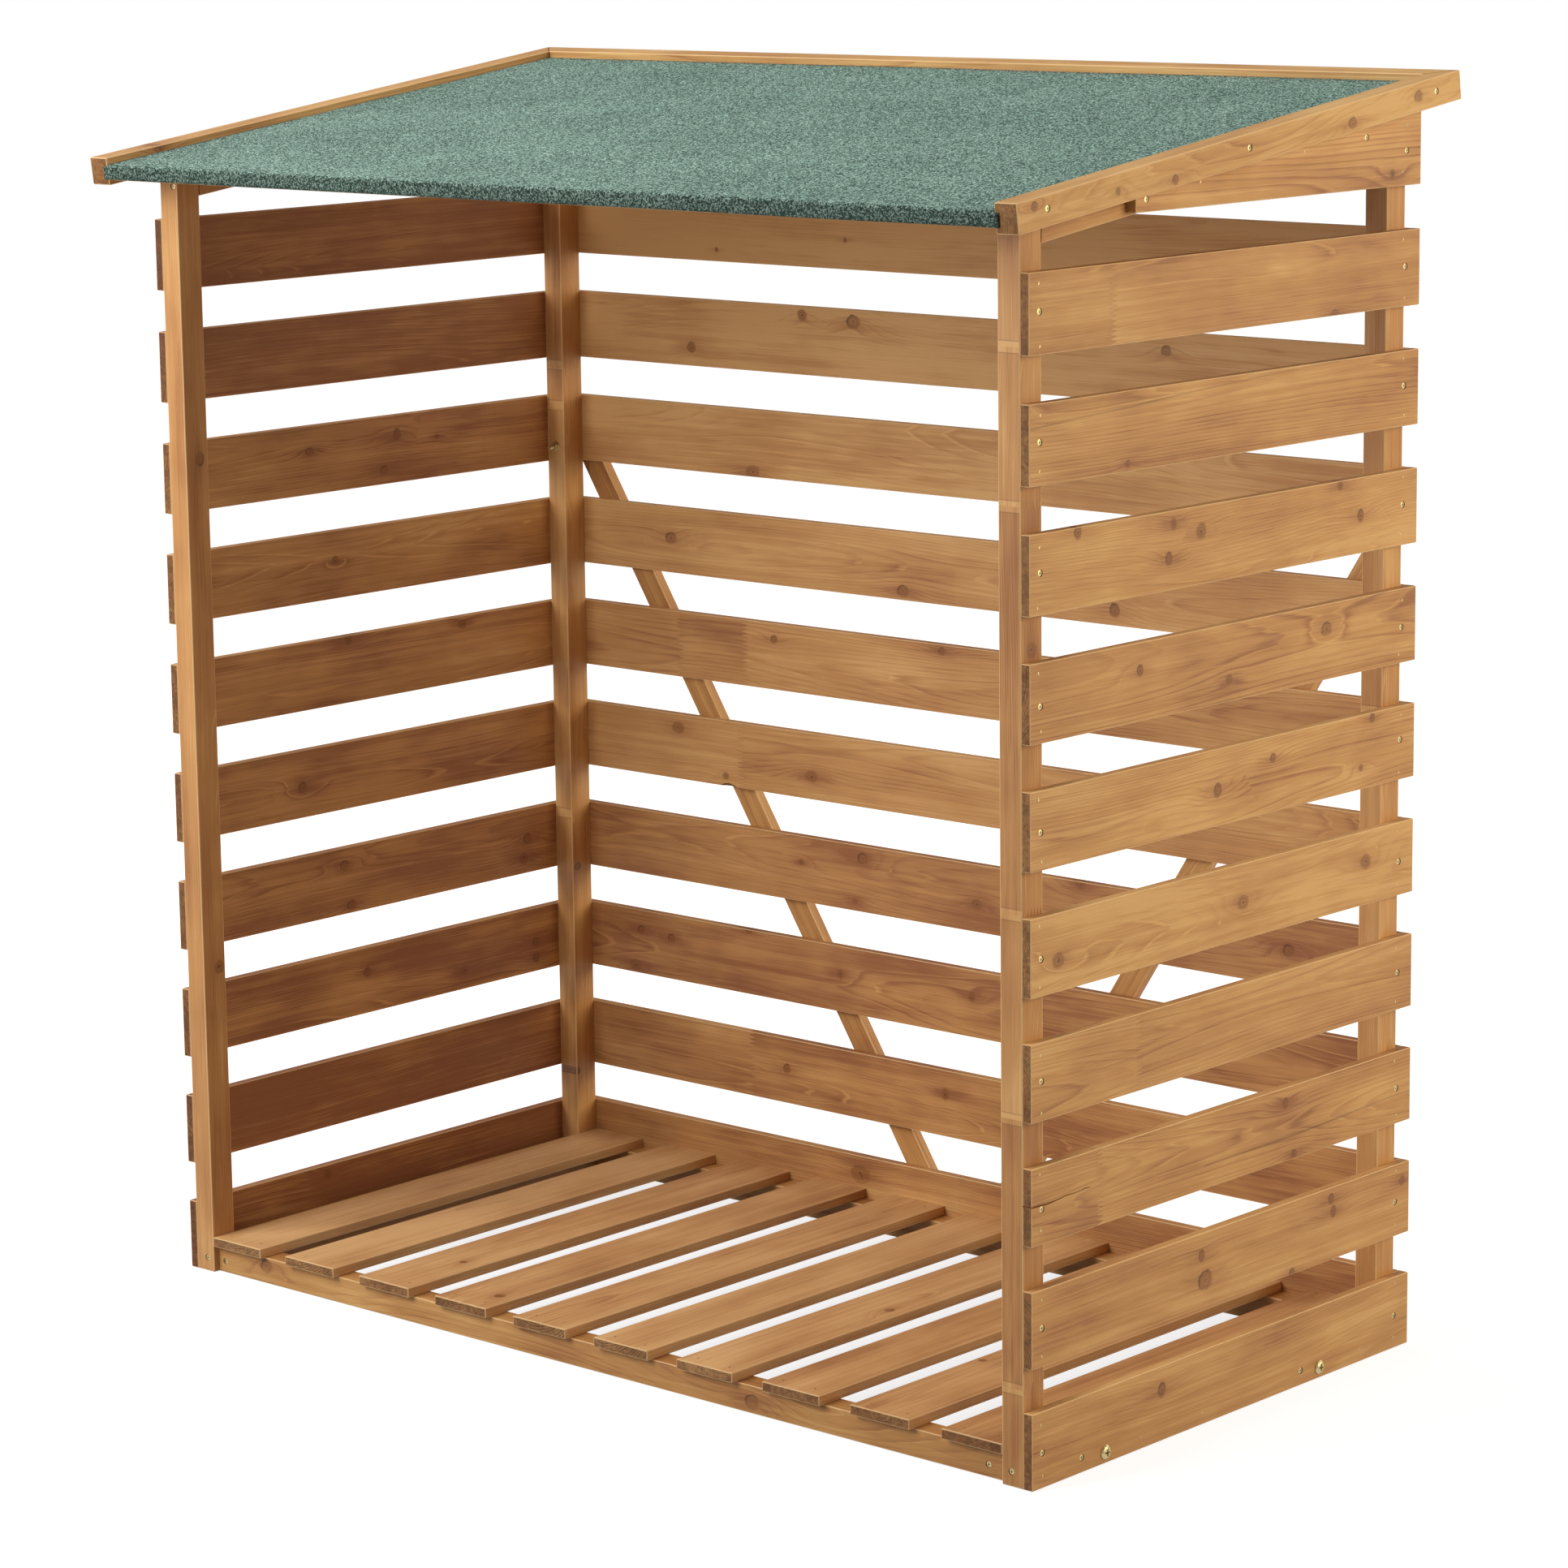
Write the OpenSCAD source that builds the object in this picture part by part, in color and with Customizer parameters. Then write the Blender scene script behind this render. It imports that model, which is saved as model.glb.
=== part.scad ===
// Open-fronted log store: a softwood frame with slatted sides, back and floor,
// and a pent roof that falls towards the front inside an edge frame.
// Millimetres. X runs to the right seen from the front, Y to the back, Z up from the ground.

/* [Overall] */
// Width over the outer faces of the side slats
store_w = 1321; // [1150:1:2000]
// Depth from the front faces of the front posts to the rear faces of the back posts
store_d = 672; // [450:1:1100]
// Number of slat courses on each wall, the highest one under the roof included
courses = 11; // [6:1:14]

/* [Slats] */
// Height of a wall slat
slat_h = 84; // [60:1:110]
// Thickness of a wall slat
slat_t = 12; // [8:0.5:22]
// Rise from one slat course to the next
course_rise = 132.5; // [115:0.5:170]
// Distance from the front posts' front faces to the front end of the short top side slat
top_slat_setback = 174; // [60:1:300]
// Clearance between the highest back slat and the edge board above it
top_slat_clearance = 4; // [1:0.5:15]

/* [Posts and wall rails] */
// Width of a post and of the wall rails, along X
post_w = 29; // [22:0.5:60]
// Depth of a post, along Y
post_d = 34.5; // [24:0.5:70]
// Height of the bottom wall rails
bottom_rail_h = 34; // [24:1:70]
// Depth of the sloping top wall rails, square to the slope
top_rail_h = 34; // [24:1:70]

/* [Floor] */
// Height of the floor frame
floor_frame_h = 32; // [24:1:70]
// Thickness of the floor frame timbers
floor_frame_t = 29; // [20:0.5:60]
// Distance of the floor frame behind the front posts' front faces
floor_frame_setback = 8.5; // [0:0.5:30]
// Number of floor boards
floor_boards = 10; // [6:1:12]
// Width of a floor board
floor_board_w = 84; // [50:1:95]
// Thickness of a floor board
floor_board_t = 12; // [8:0.5:25]

/* [Roof] */
// Slope of the roof in degrees
roof_pitch = 7.3; // [3:0.1:15]
// Overhang of the roof in front of the front posts
front_overhang = 64; // [30:1:150]
// Overhang of the roof behind the rear faces of the back posts
back_overhang = 31; // [31:1:120]
// Gap between the side slats and the inner faces of the edge boards
side_gap = 7.5; // [2:0.5:60]
// Thickness of the edge boards
edge_t = 29; // [18:0.5:29]
// Depth of the edge boards, square to the slope
edge_h = 32; // [26:1:60]
// Thickness of the roof deck boards
deck_t = 16; // [9:0.5:18]
// Width of one roof deck board
deck_board_w = 92; // [60:1:150]
// Thickness of the roofing felt
felt_t = 2; // [1:0.5:4]
// How far the edge boards stand above the felt
edge_upstand = 8; // [0:0.5:10]
// Height of the strip of felt folded down over the front edge
felt_drop = 17; // [10:0.5:22]
// How far the folded strip laps over the front end of each edge board
felt_lap = 5; // [0:0.5:15]
// Radius of the fold in the felt
felt_fold_r = 4; // [4:0.5:8]

/* [Braces] */
// Width of a back brace
brace_w = 32; // [20:1:60]
// Thickness of a back brace
brace_t = 14; // [8:0.5:25]
// Number of courses above the one that carries the upper ends of the braces
courses_above_brace = 3; // [1:1:4]
// Height of a brace's axis above the lower edge of that slat, over the middle of the post
brace_rise = 28; // [10:1:60]
// Distance from the middle of the back to the axis of each brace at ground level
brace_foot = 22; // [20:1:120]
// Height of the lower ends of the braces above the ground
brace_toe = 12; // [5:1:40]

/* [Hidden] */

wood = [0.71, 0.50, 0.31];
wood_light = [0.78, 0.58, 0.36];
wood_dark = [0.60, 0.41, 0.25];
felt_green = [0.38, 0.52, 0.46];

pitch_run = cos(roof_pitch);
pitch_rise = sin(roof_pitch);
pitch_tan = tan(roof_pitch);

// The whole store is centred on Y = 0. It reaches furthest forward at the fold of the felt, or else at the
// edge boards' front ends, and furthest back at the lower edge of the back edge board.
fold_reach = felt_fold_r - (felt_fold_r - felt_t) * pitch_run - (edge_upstand + felt_fold_r) * pitch_rise;
front_reach = front_overhang + max(0, fold_reach);
rear_reach = store_d + back_overhang + edge_h * pitch_rise;
front_y = (front_reach - rear_reach) / 2;
rear_y = front_y + store_d;

// The faces that the wall pieces share, from the middle outwards.
outer_x = store_w / 2;
post_out_x = outer_x - slat_t;
post_in_x = post_out_x - post_w;

// Depths below the top of the edge boards, square to the slope, and lengths along it.
deck_bottom = edge_upstand + felt_t + deck_t;
slope_len = (store_d + front_overhang + back_overhang) / pitch_run;

// Heights of the deck's underside over the rear and the front faces of the posts: the edge board at the
// back, which hangs a little below the deck, clears the highest back slat.
top_course_z = (courses - 1) * course_rise;
edge_below_deck = max(0, edge_h - deck_bottom) / pitch_run;
under_deck_rear_z = top_course_z + slat_h + top_slat_clearance + edge_below_deck;
under_deck_front_z = under_deck_rear_z - store_d * pitch_tan;
eaves_z = under_deck_front_z - front_overhang * pitch_tan + deck_bottom / pitch_run;
deck_half_w = outer_x + side_gap;
edge_out_x = deck_half_w + edge_t;

deck_len = slope_len - edge_t;
deck_groove = 1.5;

// Larger than the whole store, for what is cut away.
big = 4 * (store_w + store_d + top_course_z);

// Height of the deck's underside at a distance y behind the front posts' front faces.
function under_deck_z(y) = under_deck_front_z + y * pitch_tan;

// A block from one corner to the other.
module block(low, high) {
    translate(low) cube(high - low);
}

// What lies below the underside of the roof deck.
module below_deck() {
    translate([-big / 2, front_y, under_deck_front_z])
        rotate([roof_pitch, 0, 0])
            translate([0, -big / 2, -big]) cube([big, big, big]);
}

// Places children given along the slope: X as in the store, Y up the slope from the front ends of the
// edge boards, Z square to it with 0 at the top of the edge boards.
module on_slope() {
    translate([0, front_y - front_overhang, eaves_z]) rotate([roof_pitch, 0, 0]) children();
}

// Keeps a right-hand piece where it is, or mirrors it to the left.
module on_side(side) {
    if (side > 0) children();
    else mirror([1, 0, 0]) children();
}

// A post of the given side, y being the distance of its front face behind the front of the store. Its top
// is cut to the slope of the roof.
module post(side, y) {
    intersection() {
        on_side(side)
            block([post_in_x, front_y + y, 0],
                  [post_out_x, front_y + y + post_d, under_deck_z(store_d + slat_t)]);
        below_deck();
    }
}

// The rail between the feet of a front post and a back post.
module bottom_rail(side) {
    on_side(side)
        block([post_in_x, front_y + post_d, 0], [post_out_x, rear_y - post_d, bottom_rail_h]);
}

// The rail under the edge of the deck, between the two posts and square to the slope.
module top_rail(side) {
    depth = top_rail_h / pitch_run;
    on_side(side)
        translate([post_in_x, front_y, 0])
            rotate([90, 0, 90])
                linear_extrude(post_w)
                    polygon([[post_d, under_deck_z(post_d) - depth],
                             [store_d - post_d, under_deck_z(store_d - post_d) - depth],
                             [store_d - post_d, under_deck_z(store_d - post_d)],
                             [post_d, under_deck_z(post_d)]]);
}

// The full slats of a side wall, outside the posts, with their rear ends flush with the back slats.
module side_slats(side) {
    intersection() {
        on_side(side)
            for (i = [0:courses - 2])
                block([post_out_x, front_y, i * course_rise],
                      [outer_x, rear_y + slat_t, i * course_rise + slat_h]);
        below_deck();
    }
}

// The highest slat of a side wall: it stops short of the front post, and the roof cuts it to a wedge.
module top_side_slat(side) {
    intersection() {
        on_side(side)
            block([post_out_x, front_y + top_slat_setback, top_course_z],
                  [outer_x, rear_y + slat_t, top_course_z + slat_h]);
        below_deck();
    }
}

// The slats of the back wall, on the rear faces of the back posts and between the side slats.
module back_slats() {
    for (i = [0:courses - 1])
        block([-post_out_x, rear_y, i * course_rise],
              [post_out_x, rear_y + slat_t, i * course_rise + slat_h]);
}

// A floor frame timber across the store, y being the distance of its front face behind the front.
module floor_cross_rail(y) {
    block([-post_in_x, front_y + y, 0], [post_in_x, front_y + y + floor_frame_t, floor_frame_h]);
}

// A floor frame timber along a side, butted between the two cross rails.
module floor_side_rail(side) {
    on_side(side)
        block([post_in_x - floor_frame_t, front_y + floor_frame_setback + floor_frame_t, 0],
              [post_in_x, rear_y - floor_frame_t, floor_frame_h]);
}

// One of the floor boards, counted from the left. The outer ones touch the posts.
module floor_board(i) {
    spacing = (2 * post_in_x - floor_board_w) / (floor_boards - 1);
    x = -post_in_x + (i - 1) * spacing;
    block([x, front_y, floor_frame_h],
          [x + floor_board_w, rear_y, floor_frame_h + floor_board_t]);
}

// A brace on the rear faces of the back slats, from the middle of the bottom slat to the post at the
// brace course. Its upper end is cut upright and its lower end level.
module back_brace(side) {
    top_z = (courses - 1 - courses_above_brace) * course_rise + brace_rise;
    run = post_in_x + post_w / 2 - brace_foot;
    lean = atan2(top_z, run);
    on_side(side)
        intersection() {
            translate([brace_foot, rear_y + slat_t, 0])
                rotate([0, -lean, 0])
                    translate([-big / 8, 0, -brace_w / 2]) cube([big / 4, brace_t, brace_w]);
            block([0.5, rear_y, brace_toe], [post_out_x, rear_y + 2 * slat_t + brace_t, big / 8]);
        }
}

// The deck's cross-section along the slope, grown by g at the front and on top, down to a given height:
// its front upper edge is rounded for the felt.
module deck_profile(g, bottom) {
    top = g - felt_t - edge_upstand;
    r = felt_fold_r - felt_t + g;
    translate([-g, bottom]) square([deck_len + g, top - r - bottom]);
    translate([r - g, bottom]) square([deck_len + g - r, top - bottom]);
    translate([r - g, top - r]) circle(r, $fn = 48);
}

// Extrudes a cross-section from x to -x across the roof.
module across(x) {
    translate([-x, 0, 0]) rotate([90, 0, 90]) linear_extrude(2 * x) children();
}

// The boards of the roof, laid across the slope, with a small V groove on the underside of each joint.
module roof_deck() {
    on_slope()
        difference() {
            across(deck_half_w) deck_profile(0, -deck_bottom);
            for (y = [deck_board_w:deck_board_w:deck_len - deck_groove])
                translate([0, y, -deck_bottom])
                    rotate([45, 0, 0])
                        cube([2 * deck_half_w + 1, deck_groove, deck_groove], center = true);
        }
}

// The felt on the deck, folded down over its front edge. The folded strip is a little wider than the deck
// and laps over the front ends of the edge boards.
module roof_felt() {
    on_slope() {
        across(deck_half_w) felt_profile();
        across(deck_half_w + felt_lap)
            intersection() {
                felt_profile();
                translate([-felt_t, -big]) square([felt_t, big]);
            }
    }
}

// The felt's cross-section along the slope.
module felt_profile() {
    difference() {
        deck_profile(felt_t, -edge_upstand - felt_drop);
        deck_profile(0, -edge_upstand - felt_drop - deck_bottom);
    }
}

// An edge board along a side of the roof, mitred at the back.
module side_edge(side) {
    on_side(side)
        on_slope()
            translate([0, 0, -edge_h])
                linear_extrude(edge_h)
                    polygon([[deck_half_w, 0], [edge_out_x, 0], [edge_out_x, slope_len],
                             [deck_half_w, slope_len - edge_t]]);
}

// The edge board across the back of the roof, mitred into the side ones.
module back_edge() {
    on_slope()
        translate([0, 0, -edge_h])
            linear_extrude(edge_h)
                polygon([[-deck_half_w, slope_len - edge_t], [deck_half_w, slope_len - edge_t],
                         [edge_out_x, slope_len], [-edge_out_x, slope_len]]);
}

color(wood_light) post(-1, 0);  // front_left_post
color(wood_light) post(1, 0);  // front_right_post
color(wood) post(-1, store_d - post_d);  // back_left_post
color(wood) post(1, store_d - post_d);  // back_right_post
color(wood_dark) bottom_rail(-1);  // left_bottom_rail
color(wood_dark) bottom_rail(1);  // right_bottom_rail
color(wood) top_rail(-1);  // left_top_rail
color(wood) top_rail(1);  // right_top_rail
color(wood) side_slats(-1);  // left_wall_slats
color(wood) side_slats(1);  // right_wall_slats
color(wood_dark) back_slats();  // back_wall_slats
color(wood) top_side_slat(-1);  // left_top_slat
color(wood) top_side_slat(1);  // right_top_slat
color(wood_dark) floor_cross_rail(floor_frame_setback);  // floor_front_rail
color(wood_dark) floor_cross_rail(store_d - floor_frame_t);  // floor_back_rail
color(wood_dark) floor_side_rail(-1);  // floor_left_rail
color(wood_dark) floor_side_rail(1);  // floor_right_rail
for (i = [1:floor_boards])
    color(wood_light) floor_board(i);
color(wood_dark) back_brace(-1);  // left_back_brace
color(wood_dark) back_brace(1);  // right_back_brace
color(wood) roof_deck();
color(felt_green) roof_felt();
color(wood_light) side_edge(-1);  // left_roof_edge
color(wood_light) side_edge(1);  // right_roof_edge
color(wood_light) back_edge();  // back_roof_edge
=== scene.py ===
import math
import random

import bmesh
import bpy
from mathutils import Matrix, Vector


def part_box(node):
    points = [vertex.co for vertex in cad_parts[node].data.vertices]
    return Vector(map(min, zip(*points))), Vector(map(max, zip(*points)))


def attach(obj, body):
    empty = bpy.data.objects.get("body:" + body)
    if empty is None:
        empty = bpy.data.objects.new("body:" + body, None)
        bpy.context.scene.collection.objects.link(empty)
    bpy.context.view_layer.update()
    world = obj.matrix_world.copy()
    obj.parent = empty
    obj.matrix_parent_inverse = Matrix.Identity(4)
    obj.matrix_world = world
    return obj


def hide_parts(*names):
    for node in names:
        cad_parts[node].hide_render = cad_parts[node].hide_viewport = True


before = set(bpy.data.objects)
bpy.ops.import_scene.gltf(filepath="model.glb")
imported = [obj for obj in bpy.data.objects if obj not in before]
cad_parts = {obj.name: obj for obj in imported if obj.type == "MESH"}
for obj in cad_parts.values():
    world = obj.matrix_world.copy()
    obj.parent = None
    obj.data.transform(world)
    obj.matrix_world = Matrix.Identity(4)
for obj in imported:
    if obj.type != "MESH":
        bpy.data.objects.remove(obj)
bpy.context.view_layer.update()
scene = bpy.context.scene

# ---- Camera ----
# A long lens stands in front and to the right of the store, a little above its roof, and looks slightly down.
camera = bpy.data.objects.new("camera", bpy.data.cameras.new("camera"))
scene.collection.objects.link(camera)
camera.location = (3.7881, -4.1809, 1.7040)
camera.rotation_euler = (math.radians(79.218), math.radians(0.701), math.radians(41.785))
camera.data.sensor_width = 36
camera.data.lens = 113.7
camera.data.clip_end = 60
scene.camera = camera

# ---- Studio ----
# A white floor and a white surround. The large soft box on the right is the main light and a little warm, two
# in front reach under the roof, and weaker ones stand on the left, behind and overhead.
scene.view_settings.view_transform = "Standard"
world = bpy.data.worlds.new("studio")
world.use_nodes = True
scene.world = world
tree = world.node_tree
tree.nodes.clear()
light_path = tree.nodes.new("ShaderNodeLightPath")
seen = tree.nodes.new("ShaderNodeBackground")
seen.inputs["Color"].default_value = (1, 1, 1, 1)
seen.inputs["Strength"].default_value = 1.0
ambient = tree.nodes.new("ShaderNodeBackground")
ambient.inputs["Color"].default_value = (0.90, 0.97, 1.10, 1)
ambient.inputs["Strength"].default_value = 0.175
choice = tree.nodes.new("ShaderNodeMixShader")
tree.links.new(light_path.outputs["Is Camera Ray"], choice.inputs[0])
tree.links.new(ambient.outputs[0], choice.inputs[1])
tree.links.new(seen.outputs[0], choice.inputs[2])
tree.links.new(choice.outputs[0], tree.nodes.new("ShaderNodeOutputWorld").inputs[0])

for name, place, size, power, tint in (("right", (4.6, 1.9, 1.9), (3.0, 2.6), 160, (1.0, 0.87, 0.60)),
                                       ("left", (-4.1, 0.3, 3.0), (2.4, 2.4), 62, (1.0, 1.0, 1.0)),
                                       ("back", (1.3, 4.4, 2.2), (2.4, 2.4), 45, (1.0, 1.0, 1.0)),
                                       ("front", (-1.1, -2.6, 1.8), (2.0, 1.4), 62, (1.0, 0.98, 0.94)),
                                       ("high", (-1.3, -3.1, 3.6), (2.4, 2.4), 56, (1.0, 0.98, 0.94)),
                                       ("top", (0.0, -0.2, 4.2), (3.0, 3.0), 50, (1.0, 1.0, 1.0))):
    lamp = bpy.data.objects.new(name, bpy.data.lights.new(name, "AREA"))
    lamp.data.shape = "RECTANGLE"
    lamp.data.size, lamp.data.size_y = size
    lamp.data.energy, lamp.data.color = power, tint
    lamp.location = place
    lamp.rotation_euler = (Vector((0, 0, 0.6)) - Vector(place)).to_track_quat("-Z", "Y").to_euler()
    scene.collection.objects.link(lamp)

bm = bmesh.new()
bmesh.ops.create_grid(bm, x_segments=1, y_segments=1, size=14)
floor_mesh = bpy.data.meshes.new("studio_floor")
bm.to_mesh(floor_mesh)
bm.free()
floor = bpy.data.objects.new("studio_floor", floor_mesh)
floor.location.z = -0.0006
scene.collection.objects.link(floor)
paint = bpy.data.materials.new("white_floor")
paint.use_nodes = True
tree = paint.node_tree
tree.nodes.clear()
spread = tree.nodes.new("ShaderNodeVectorMath")
spread.operation = "LENGTH"
tree.links.new(tree.nodes.new("ShaderNodeTexCoord").outputs["Object"], spread.inputs[0])
away = tree.nodes.new("ShaderNodeMapRange")
away.interpolation_type = "SMOOTHSTEP"
away.inputs["From Min"].default_value = 0.9
away.inputs["From Max"].default_value = 2.1
away.inputs["To Min"].default_value = 0.8
tree.links.new(spread.outputs["Value"], away.inputs["Value"])
rays = tree.nodes.new("ShaderNodeLightPath")
seen = tree.nodes.new("ShaderNodeMath")
seen.operation = "MAXIMUM"
tree.links.new(rays.outputs["Is Camera Ray"], seen.inputs[0])
tree.links.new(rays.outputs["Is Glossy Ray"], seen.inputs[1])
share = tree.nodes.new("ShaderNodeMath")
share.operation = "MULTIPLY"
tree.links.new(seen.outputs[0], share.inputs[0])
tree.links.new(away.outputs["Result"], share.inputs[1])
matt = tree.nodes.new("ShaderNodeBsdfDiffuse")
matt.inputs["Color"].default_value = (0.32, 0.32, 0.32, 1)
glow = tree.nodes.new("ShaderNodeEmission")
both = tree.nodes.new("ShaderNodeAddShader")
tree.links.new(share.outputs[0], glow.inputs["Strength"])
tree.links.new(matt.outputs[0], both.inputs[0])
tree.links.new(glow.outputs[0], both.inputs[1])
tree.links.new(both.outputs[0], tree.nodes.new("ShaderNodeOutputMaterial").inputs["Surface"])
floor_mesh.materials.append(paint)

# ---- Stained softwood ----
# Planed spruce under one coat of honey-brown stain. Each board carries its own coordinates: along the grain,
# across it and through it. Growth rings are shells round a pith line beside the board; they bulge round knots.


def add(tree, kind, *values, out=0, **settings):
    """Adds a node to a tree, links or sets its inputs in order, and gives the output that is asked for."""
    made = tree.nodes.new("ShaderNode" + kind)
    for key, value in settings.items():
        setattr(made, key, value)
    for socket, value in zip(made.inputs, values):
        if isinstance(value, bpy.types.NodeSocket):
            tree.links.new(value, socket)
        elif value is not None:
            socket.default_value = value
    return made.outputs[out]


def calc(tree, operation, *values):
    return add(tree, "Math", *values, operation=operation)


def ease(tree, value, low, high, start=0.0, end=1.0):
    return add(tree, "MapRange", value, low, high, start, end, interpolation_type="SMOOTHSTEP")


def blend(tree, amount, first, second, mode="MIX"):
    made = tree.nodes.new("ShaderNodeMix")
    made.data_type, made.blend_type = "RGBA", mode
    for index, value in ((0, amount), (6, first), (7, second)):
        if isinstance(value, bpy.types.NodeSocket):
            tree.links.new(value, made.inputs[index])
        else:
            made.inputs[index].default_value = value
    return made.outputs[2]


softwood = bpy.data.node_groups.new("softwood", "ShaderNodeTree")
for name in ("Pale", "Honey", "Brown"):
    softwood.interface.new_socket(name, in_out="INPUT", socket_type="NodeSocketColor")
softwood.interface.new_socket("Band", in_out="INPUT", socket_type="NodeSocketFloat")
for name, kind in (("Color", "NodeSocketColor"), ("Roughness", "NodeSocketFloat"), ("Height", "NodeSocketFloat")):
    softwood.interface.new_socket(name, in_out="OUTPUT", socket_type=kind)
t = softwood
given = t.nodes.new("NodeGroupInput")
grain = add(t, "Attribute", attribute_name="grain", out=1)
board = t.nodes.new("ShaderNodeSeparateXYZ")
t.links.new(add(t, "Attribute", attribute_name="board", out=1), board.inputs[0])
seed, tone, figure = board.outputs
place = t.nodes.new("ShaderNodeSeparateXYZ")
t.links.new(grain, place.inputs[0])
u, v, w = place.outputs

# Finger joints: the boards are glued up from lengths of different trees, with 12 mm fingers. The outermost
# finger shows as a band on the faces that lie across the comb.
finger = calc(t, "PINGPONG", calc(t, "ADD", v, 1.0), 0.0026)
outer = calc(t, "MULTIPLY", calc(t, "GREATER_THAN", calc(t, "ABSOLUTE", v), 0.0162), given.outputs["Band"])
cut = calc(t, "MULTIPLY_ADD", calc(t, "MULTIPLY_ADD", finger, 4.6, -0.006), calc(t, "SUBTRACT", 1.0, outer), u)
length = glue = None
for attribute in ("joints_a", "joints_b"):
    joints = t.nodes.new("ShaderNodeSeparateXYZ")
    t.links.new(add(t, "Attribute", attribute_name=attribute, out=1), joints.inputs[0])
    for joint in joints.outputs:
        beyond = calc(t, "GREATER_THAN", cut, joint)
        length = beyond if length is None else calc(t, "ADD", length, beyond)
        gap = calc(t, "ABSOLUTE", calc(t, "SUBTRACT", cut, joint))
        glue = gap if glue is None else calc(t, "MINIMUM", glue, gap)
band = calc(t, "MULTIPLY", outer, calc(t, "LESS_THAN", glue, 0.0062))
glue = calc(t, "ABSOLUTE", calc(t, "MULTIPLY_ADD", outer, -0.0062, glue))
glue = ease(t, glue, 0.0002, 0.0010, 1, 0)
draw = add(t, "TexWhiteNoise", None, calc(t, "MULTIPLY_ADD", length, 13.31, calc(t, "MULTIPLY", seed, 91.7)),
           noise_dimensions="1D", out=1)
chance = t.nodes.new("ShaderNodeSeparateColor")
t.links.new(draw, chance.inputs[0])
away = add(t, "VectorMath", draw, (31.0, 23.0, 47.0), operation="MULTIPLY")


def noise(along, across, detail):
    """Noise stretched along the grain, from its two frequencies per metre."""
    return add(t, "TexNoise", add(t, "VectorMath", grain, (along, across, across), away, operation="MULTIPLY_ADD"),
               None, 1.0, detail, 0.55)


wavy = calc(t, "SUBTRACT", noise(5.0, 26.0, 0.0), 0.5)
fibre = calc(t, "SUBTRACT", noise(13.0, 560.0, 0.0), 0.5)
streak = calc(t, "SUBTRACT", noise(1.8, 140.0, 0.0), 0.5)
blotch = calc(t, "SUBTRACT", noise(5.0, 17.0, 1.0), 0.5)
mottle = calc(t, "SUBTRACT", noise(30.0, 60.0, 0.0), 0.5)
ragged = calc(t, "SUBTRACT", noise(170.0, 260.0, 0.0), 0.5)

# The nearest knot of up to six on the board, as a vector from its centre, with its radius.
flat = add(t, "VectorMath", grain, (1.0, 1.0, 0.0), operation="MULTIPLY")
nearest = best = None
for name in ("spot_a", "spot_b", "spot_c", "spot_d", "spot_e", "spot_f"):
    offset = add(t, "VectorMath", flat, add(t, "Attribute", attribute_name=name, out=1), operation="SUBTRACT")
    reach = add(t, "VectorMath", add(t, "VectorMath", offset, (0.6, 1.0, 0.0), operation="MULTIPLY"), out=1,
                operation="LENGTH")
    if nearest is None:
        nearest, best = offset, reach
        continue
    choice = t.nodes.new("ShaderNodeMix")
    choice.data_type = "VECTOR"
    t.links.new(calc(t, "LESS_THAN", reach, best), choice.inputs[0])
    t.links.new(nearest, choice.inputs[4])
    t.links.new(offset, choice.inputs[5])
    nearest, best = choice.outputs[1], calc(t, "MINIMUM", reach, best)
spot = t.nodes.new("ShaderNodeSeparateXYZ")
t.links.new(nearest, spot.inputs[0])
size = calc(t, "MULTIPLY", spot.outputs[2], -1.2)
du = calc(t, "DIVIDE", spot.outputs[0], size)
dv = calc(t, "DIVIDE", spot.outputs[1], size)
dv2 = calc(t, "MULTIPLY", dv, dv)
squat = calc(t, "FRACT", calc(t, "MULTIPLY_ADD", size, 5137.0, calc(t, "MULTIPLY", seed, 7.0)))
near = calc(t, "MULTIPLY", du, calc(t, "MULTIPLY_ADD", squat, 0.55, 0.72))
distance = calc(t, "SQRT", calc(t, "MULTIPLY_ADD", near, near, dv2))
distance = calc(t, "MULTIPLY_ADD", ragged, 0.3, distance)
fate = calc(t, "FRACT", calc(t, "MULTIPLY", squat, 9.7))
core = calc(t, "MULTIPLY", ease(t, distance, 0.75, 1.0, 1, 0), calc(t, "MULTIPLY_ADD", squat, 0.4, 0.8))
rim = calc(t, "MULTIPLY", ease(t, distance, 0.6, 0.84), ease(t, distance, 0.86, 1.1, 1, 0))
rim = calc(t, "MULTIPLY", rim, ease(t, calc(t, "MULTIPLY_ADD", dv, 0.4, calc(t, "MULTIPLY", du, -0.3)), -0.3, 0.4,
                                    0.1, 1.0))
rim = calc(t, "MULTIPLY", rim, ease(t, fate, 0.1, 0.7, 0.15, 1.0))
pith = calc(t, "MULTIPLY", ease(t, calc(t, "MULTIPLY_ADD", ragged, 0.4, distance), 0.08, 0.26, 0.8, 0),
            ease(t, fate, 0.9, 0.3, 0.2, 1.0))
far = calc(t, "MULTIPLY", du, 0.32)
eye = calc(t, "MULTIPLY_ADD", far, far, dv2)
bulge = calc(t, "EXPONENT", calc(t, "MULTIPLY", eye, -0.4))
halo = calc(t, "EXPONENT", calc(t, "MULTIPLY", eye, -0.7))

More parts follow.
